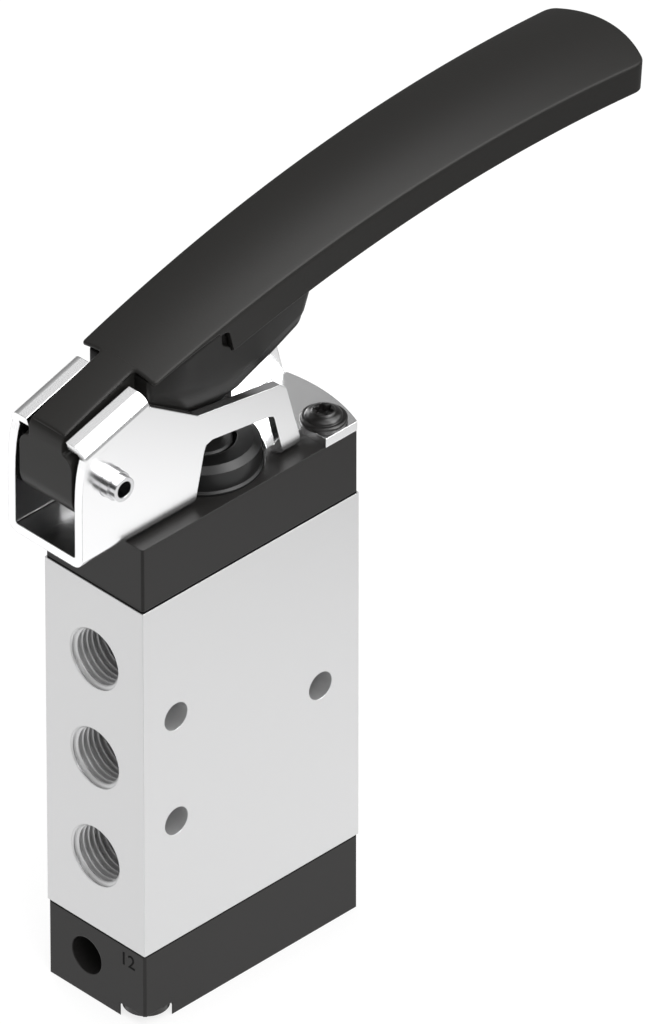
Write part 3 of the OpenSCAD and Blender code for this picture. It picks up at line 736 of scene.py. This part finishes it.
def port_number():
    """Plain port number on the front of the lower cap."""
    place = (-28.17, -6.3, 12.4)
    text = bpy.data.curves.new("port_number", "FONT")
    text.body = "12"
    text.size = 4.2 * MM
    text.extrude = 0.03 * MM
    text.resolution_u = 6
    flat = add_object("port_number_text", text)
    mesh = evaluated_mesh(flat)
    bpy.data.objects.remove(flat)
    upright = Matrix(((0, 0, -1), (-1, 0, 0), (0, 1, 0))).to_4x4()
    mesh.transform(Matrix.Translation([c * MM for c in place]) @ upright)
    mesh.materials.clear()
    mesh.materials.append(MATS["gasket_rubber"])
    o = add_object("port_number", mesh)
    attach(o, BODY["bottom_cap"])


port_number()

# Camera, solved from the corners of the block in the photo. In its pixels: the photo's height, the
# focal length, and the block's width where it is seen square on
PHOTO_TALL = 1024
FOCAL_PX = 23282.0
BLOCK_WIDE_PX = 140.42
SENSOR = 36
turn, tilt = math.radians(-44.394), math.radians(35.584)
back = Vector((math.sin(turn) * math.cos(tilt), -math.cos(turn) * math.cos(tilt), math.sin(tilt)))
right = Vector((math.cos(turn), math.sin(turn), 0))
up = back.cross(right)
# How far the picture's middle lies right of and above the block's middle, in widths of the block
aim_right, aim_up = 0.87425, 1.30833
middle = Vector((0, 0, BLOCK_MID))
target = (middle + right * aim_right * BLOCK_WIDE + up * aim_up * BLOCK_WIDE) * MM
distance = FOCAL_PX / (BLOCK_WIDE_PX / BLOCK_WIDE) * MM
lens = bpy.data.cameras.new("camera")
lens.lens = FOCAL_PX / PHOTO_TALL * SENSOR
lens.sensor_width = SENSOR
lens.sensor_fit = "AUTO"
lens.clip_start = 0.1
lens.clip_end = 100
camera = add_object("camera", lens)
facing = Matrix((right, up, back)).transposed()
camera.matrix_world = Matrix.Translation(target + back * distance) @ facing.to_4x4()
bpy.context.scene.camera = camera


# Lamps, which surfaces don't mirror
def lamp(name, place, aim, size, power):
    """Rectangular lamp at a place, aimed at a point."""
    light = bpy.data.lights.new(name, "AREA")
    light.shape = "RECTANGLE"
    light.size, light.size_y = size
    light.energy = power
    o = add_object(name, light)
    o.location = place
    o.rotation_euler = (Vector(aim) - Vector(place)).to_track_quat("-Z", "Y").to_euler()
    o.visible_glossy = False


lamp("key", place=(-0.25, -0.75, 0.95), aim=(0, 0, 0.08), size=(0.6, 0.6), power=5.0)
lamp("fill", place=(0.9, -0.35, 0.55), aim=(0, 0, 0.08), size=(0.5, 0.5), power=1.5)
lamp("rim", place=(0.1, 0.8, 0.9), aim=(0, 0, 0.1), size=(0.8, 0.4), power=3.0)


# Nodes that world and floor share
def map_range(tree, source, low_in, high_in, low_out, high_out, kind="SMOOTHSTEP"):
    """Value that goes from low_out to high_out as the source goes from low_in to high_in."""
    node = tree.nodes.new("ShaderNodeMapRange")
    node.interpolation_type = kind
    ends = {"From Min": low_in, "From Max": high_in, "To Min": low_out, "To Max": high_out}
    for name, value in ends.items():
        node.inputs[name].default_value = value
    tree.links.new(source, node.inputs["Value"])
    return node.outputs["Result"]


def grey_ramp(tree, source, *stops):
    """Grey that follows stops of place and brightness."""
    node = tree.nodes.new("ShaderNodeValToRGB")
    marks = node.color_ramp.elements
    for mark, (place, grey) in zip(marks, (stops[0], stops[-1])):
        mark.position = place
        mark.color = (grey, grey, grey, 1)
    for place, grey in stops[1:-1]:
        marks.new(place).color = (grey, grey, grey, 1)
    tree.links.new(source, node.inputs["Fac"])
    return node.outputs["Color"]


def calculate(tree, kind, *values):
    """Math node on sockets or plain numbers."""
    node = tree.nodes.new("ShaderNodeMath")
    node.operation = kind
    for k, value in enumerate(values):
        if isinstance(value, (int, float)):
            node.inputs[k].default_value = value
        else:
            tree.links.new(value, node.inputs[k])
    return node.outputs[0]


def measure(tree, kind, source, other):
    """Dot product of a vector with another, or its distance from it."""
    node = tree.nodes.new("ShaderNodeVectorMath")
    node.operation = kind
    tree.links.new(source, node.inputs[0])
    node.inputs[1].default_value = other
    return node.outputs["Value"]


def mix_colour(tree, kind, share, first, second):
    """Two colours mixed by a share, which is a socket or a number."""
    node = tree.nodes.new("ShaderNodeMixRGB")
    node.blend_type = kind
    if isinstance(share, float):
        node.inputs["Fac"].default_value = share
    else:
        tree.links.new(share, node.inputs["Fac"])
    tree.links.new(first, node.inputs[1])
    tree.links.new(second, node.inputs[2])
    return node.outputs["Color"]


def mix_shader(tree, share, first, second):
    """The first shader, or the second as far as share goes."""
    node = tree.nodes.new("ShaderNodeMixShader")
    tree.links.new(share, node.inputs["Fac"])
    tree.links.new(first, node.inputs[1])
    tree.links.new(second, node.inputs[2])
    return node.outputs["Shader"]


def mirrored_room(tree):
    """What shiny surfaces mirror: a bright wall in front, a dim one behind, a band of light above."""
    coordinates = tree.nodes.new("ShaderNodeTexCoord")
    split = tree.nodes.new("ShaderNodeSeparateXYZ")
    tree.links.new(coordinates.outputs["Generated"], split.inputs[0])
    # The parts of a ray's direction, each from -1 to 1; the ramps start at the level, 0
    x, y, z = split.outputs["X"], split.outputs["Y"], split.outputs["Z"]
    behind = grey_ramp(tree, z, (0.0, 0.22), (0.30, 0.24), (0.55, 0.27), (0.62, 0.32), (0.80, 0.58),
                       (1.0, 0.8))
    front = grey_ramp(tree, z, (0.0, 0.06), (0.12, 0.1), (0.36, 0.13), (0.48, 0.8), (0.65, 1.0),
                      (0.85, 0.35), (1.0, 0.2))
    dark_end = map_range(tree, x, -0.75, -0.4, 0.05, 4.0)
    front = calculate(tree, "MULTIPLY", front, dark_end)
    to_the_back = map_range(tree, y, -0.35, 0.15, 0.0, 1.0)
    walls = mix_colour(tree, "MIX", to_the_back, front, behind)
    aside = calculate(tree, "ABSOLUTE", calculate(tree, "SUBTRACT", x, 0.3), 0.0)
    band_x = map_range(tree, aside, 0.30, 0.12, 0.0, 1.0)
    band_y = map_range(tree, y, 0.60, 0.20, 0.0, 4.4)
    band = calculate(tree, "MULTIPLY", band_x, band_y)
    return mix_colour(tree, "ADD", 1.0, walls, band)


def studio_world():
    """Even light all round, and for mirror rays the room."""
    world = bpy.data.worlds.new("studio")
    bpy.context.scene.world = world
    world.use_nodes = True
    tree = world.node_tree
    even = tree.nodes["Background"]
    even.inputs["Color"].default_value = (1, 1, 1, 1)
    even.inputs["Strength"].default_value = 0.85
    room = tree.nodes.new("ShaderNodeBackground")
    tree.links.new(mirrored_room(tree), room.inputs["Color"])
    rays = tree.nodes.new("ShaderNodeLightPath")
    seen = mix_shader(tree, rays.outputs["Is Glossy Ray"], even.outputs["Background"],
                      room.outputs["Background"])
    tree.links.new(seen, tree.nodes["World Output"].inputs["Surface"])


def floor_glow(tree, is_camera):
    """White to the camera; in mirrors bright near the valve, dim further out and at one corner."""
    place = tree.nodes.new("ShaderNodeNewGeometry").outputs["Position"]
    outward = measure(tree, "DOT_PRODUCT", place, (0.877, -0.481, 0))
    glow = map_range(tree, outward, 0.147, 0.226, 1.06, 0.36, "LINEAR")
    from_corner = measure(tree, "DISTANCE", place, (-0.16, -0.15, 0))
    glow = calculate(tree, "MULTIPLY", glow, map_range(tree, from_corner, 0.06, 0.12, 0.08, 1.0))
    return calculate(tree, "MAXIMUM", glow, is_camera)


def floor_material():
    """Matt white, which glows to the camera and to mirror rays."""
    material = bpy.data.materials.new("floor")
    material.use_nodes = True
    tree = material.node_tree
    tree.nodes.clear()
    output = tree.nodes.new("ShaderNodeOutputMaterial")
    matt = tree.nodes.new("ShaderNodeBsdfDiffuse")
    matt.inputs["Color"].default_value = (0.9, 0.9, 0.9, 1)
    glow = tree.nodes.new("ShaderNodeEmission")
    glow.inputs["Color"].default_value = (1, 1, 1, 1)
    rays = tree.nodes.new("ShaderNodeLightPath")
    is_camera, is_mirror = rays.outputs["Is Camera Ray"], rays.outputs["Is Glossy Ray"]
    tree.links.new(floor_glow(tree, is_camera), glow.inputs["Strength"])
    share = map_range(tree, is_mirror, 0, 1, 0.75, 1.0)
    glowing = mix_shader(tree, share, matt.outputs["BSDF"], glow.outputs["Emission"])
    direct = calculate(tree, "MAXIMUM", is_camera, is_mirror)
    seen = mix_shader(tree, direct, matt.outputs["BSDF"], glowing)
    tree.links.new(seen, output.inputs["Surface"])
    return material


studio_world()

# Floor: a square just under the valve
FLOOR_REACH = 3.0
corners = [(-FLOOR_REACH, -FLOOR_REACH, 0), (FLOOR_REACH, -FLOOR_REACH, 0),
           (FLOOR_REACH, FLOOR_REACH, 0), (-FLOOR_REACH, FLOOR_REACH, 0)]
floor_mesh = bpy.data.meshes.new("floor")
floor_mesh.from_pydata(corners, [], [(0, 1, 2, 3)])
floor_mesh.materials.append(floor_material())
floor = add_object("floor", floor_mesh)
floor.location.z = -0.02 * MM

bpy.context.scene.view_settings.view_transform = "Standard"
bpy.context.scene.view_settings.look = "None"
